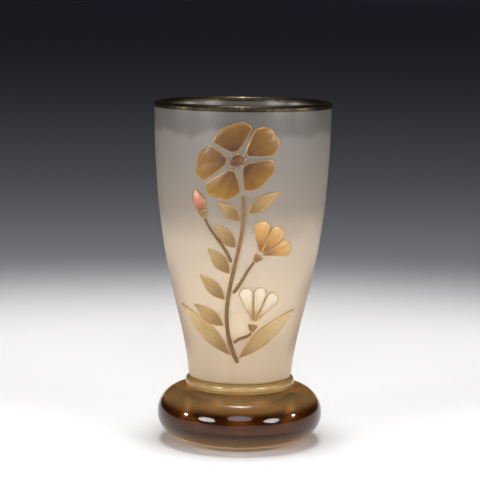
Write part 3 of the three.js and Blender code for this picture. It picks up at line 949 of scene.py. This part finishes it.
print("strokes fan out from", FAN_START, "mm behind the root")

# %% The pigment and the gold line
# Painted shade: the enamel darkens from this height up to the lip.
TOP_SHADE_START = 56 * MM
PAINTED_TOP_SHADE = paint(214, 204, 190)
STREAK_SHADE = paint(150, 140, 130)
STREAK_SHIFT = 0.25
LINE_SOFTNESS = 0.12


def pigment(tree, place, along, brushed, stops, length, streak):
    """The colour of the paste: stops over a length, brush streaks, and painted shade near the
    lip.
    """
    travel = maths(
        tree, "ADD", span(tree, along, 0, length), maths(tree, "MULTIPLY", brushed, STREAK_SHIFT)
    )
    colour = ramp(tree, maths(tree, "SUBTRACT", travel, STREAK_SHIFT / 2), stops)
    darker = ramp(tree, brushed, ((0.3, STREAK_SHADE), (0.62, WHITE)))
    colour = blend_colours(tree, streak, colour, stain(tree, colour, darker))
    # Painted shade that darkens the enamel towards the lip.
    top_shade = span(tree, height_of(tree, place), TOP_SHADE_START, RIM_HEIGHT)
    return stain(tree, colour, ramp(tree, top_shade, ((0, WHITE), (1, PAINTED_TOP_SHADE))))


def edge_line(tree, place, inset, width):
    """The share of gold round the edge of a piece. The line wanders as a hand draws it."""
    wander = maths(tree, "MULTIPLY", mottle(tree, place, scale=1500), LINE_SOFTNESS)
    ragged = maths(tree, "ADD", inset, wander)
    return span(tree, ragged, low=width, high=width + LINE_SOFTNESS, start=1, end=0)


# The height where the painted shade on the enamel starts.
print("scorched from", round(TOP_SHADE_START / MM), "mm up")

# %% The recipe for fired enamel
GOLD_LINE = paint(196, 152, 82)
LINE_WIDTH = 0.17
LINE_METAL = 0.85
STREAK_SHARE = 0.35
RIDGE_SHARE = 0.8
PIT_SHARE = 0.3


def kiln_finish(name, stops, length, line_width=LINE_WIDTH, streak=STREAK_SHARE, fan=False):
    """Fired enamel: colour over a length in millimetres, brush streaks, a gold edge, a gloss."""
    material, tree, shader, place = new_finish(name)
    drawing, along, across, inset = read_drawing(tree)
    if fan:
        brushed = fanned_strokes(tree, along, across)
    else:
        brushed = strokes(tree, drawing, along_scale=0.35, across_scale=3.2)
    colour = pigment(tree, place, along, brushed, stops, length, streak)
    if line_width:
        line = edge_line(tree, place, inset, line_width)
        colour = blend_colours(tree, line, colour, GOLD_LINE)
        tree.links.new(maths(tree, "MULTIPLY", line, LINE_METAL), shader.inputs["Metallic"])
    tree.links.new(colour, shader.inputs["Base Color"])
    pits = mottle(tree, place, scale=3200, roughness=0.6)
    gloss = span(tree, pits, low=0.35, high=0.7, start=0.3, end=0.5)
    tree.links.new(gloss, shader.inputs["Roughness"])
    shader.inputs["Coat Weight"].default_value = 0.1
    shader.inputs["Coat Roughness"].default_value = 0.15
    ridges = maths(tree, "MULTIPLY", brushed, RIDGE_SHARE)
    relief = maths(tree, "ADD", ridges, maths(tree, "MULTIPLY", pits, PIT_SHARE))
    emboss(tree, shader, relief, depth=0.09 * MM)
    return material


print("kiln recipe ready")

# %% [markdown]
# ## The large blossom
# Five ochre petals stand round a heart. They are darkest at the throat, where the paste is
# thickest, and their strokes fan out from it. Their wide, gently domed faces show every facet, so
# petals are melted one level finer than the other pieces.

# %% Fire the large blossom
ochre_enamel = kiln_finish("ochre_enamel", (
    (0.22, paint(84, 50, 6)),
    (0.45, paint(122, 78, 6)),
    (0.8, paint(144, 100, 10)),
    (1, paint(166, 120, 28)),
), length=10.2, fan=True)
enamel(
    nodes_of("blossom_petal"), ochre_enamel,
    lambda node: BLOSSOM_MIDDLE, levels=PETAL_LEVELS,
)

# %% [markdown]
# ## The heart and the stamens
# The heart is one brown dab, and the stamens are eight yellow beads in a ring round it. All are
# too small for a gold line. The colour of a bead runs outwards from the heart, but a dab has no
# root, so its own runs from a point just beside its middle.

# %% Fire the heart and the stamens
HEART_ROOT = BLOSSOM_MIDDLE - np.array([MM, 0])

heart_enamel = kiln_finish("heart_enamel", (
    (0, paint(98, 50, 14)),
    (1, paint(142, 88, 30)),
), length=3, line_width=0)
stamen_enamel = kiln_finish("stamen_enamel", (
    (0, paint(226, 180, 84)),
    (1, paint(206, 150, 60)),
), length=3, line_width=0)
enamel(["blossom_heart"], heart_enamel, lambda node: HEART_ROOT)
enamel(nodes_of("stamen"), stamen_enamel, lambda node: BLOSSOM_MIDDLE)

# %% [markdown]
# ## The half-open blossoms
# Two smaller blossoms are seen from the side, an amber one at mid height and a cream one low
# down. Each petal springs from its cup, so its root is the point of the petal nearest to that
# cup. Pale paste covers better than dark, so the streaks of the cream one are fainter.

# %% Fire the two half-open blossoms
amber_enamel = kiln_finish("amber_enamel", (
    (0.1, paint(138, 84, 32)),
    (0.5, paint(198, 144, 76)),
    (1, paint(222, 180, 122)),
), length=8, fan=True)
enamel(
    nodes_of("side_blossom_petal"), amber_enamel,
    lambda node: nearest_end(node, "side_blossom_cup"), levels=PETAL_LEVELS,
)

cream_enamel = kiln_finish("cream_enamel", (
    (0.1, paint(168, 130, 84)),
    (0.45, paint(210, 192, 160)),
    (1, paint(228, 216, 192)),
), length=9, streak=0.2, fan=True)
enamel(
    nodes_of("low_blossom_petal"), cream_enamel,
    lambda node: nearest_end(node, "low_blossom_cup"), levels=PETAL_LEVELS,
)

# %% [markdown]
# ## The buds
# A closed pink bud hangs beside the large blossom, and another ends the sprig on the back. Both
# are one drop of paste, paler towards the tip, that grows from its cup.

# %% Fire the buds
bud_enamel = kiln_finish("bud_enamel", (
    (0, paint(150, 80, 58)),
    (0.5, paint(190, 120, 92)),
    (1, paint(214, 160, 128)),
), length=4.2)
buds = {"bud_tip": "bud_cup", "back_bud_tip": "back_bud_cup"}
enamel(buds, bud_enamel, lambda node: nearest_end(node, buds[node]))

# %% [markdown]
# ## The leaves and the cups
# The leaves are olive gold, darker where they leave the stem. The cups that hold the blossoms are
# of the same paste, so they share the finish, and each grows from its own stem.

# %% Fire the leaves and cups
leaf_enamel = kiln_finish("leaf_enamel", (
    (0, paint(130, 98, 52)),
    (0.5, paint(176, 143, 90)),
    (1, paint(204, 174, 122)),
), length=14)
carriers = {
    node: "back_stem" if node.startswith("back_") else "main_stem"
    for node in enamel_nodes if "leaf" in node
}
carriers.update({
    "bud_cup": "bud_stem",
    "side_blossom_cup": "side_blossom_stem",
    "low_blossom_cup": "low_blossom_stem",
    "back_bud_cup": "back_stem",
})
enamel(carriers, leaf_enamel, lambda node: nearest_end(node, carriers[node]))

# %% [markdown]
# ## The stems
# The stems are drawn last, with a dark paste and a full brush, and are too thin for a gold line.
# They run upwards, so their strokes do too: the root of each is a point well below its middle.

# %% Fire the stems
STEM_ROOT_DROP = np.array([0, 20 * MM])

stem_enamel = kiln_finish("stem_enamel", (
    (0, paint(112, 76, 34)),
    (1, paint(146, 106, 52)),
), length=40, line_width=0)
stems = [node for node in enamel_nodes if node.endswith("stem")]
enamel(stems, stem_enamel, lambda node: middle_of(node) - STEM_ROOT_DROP)
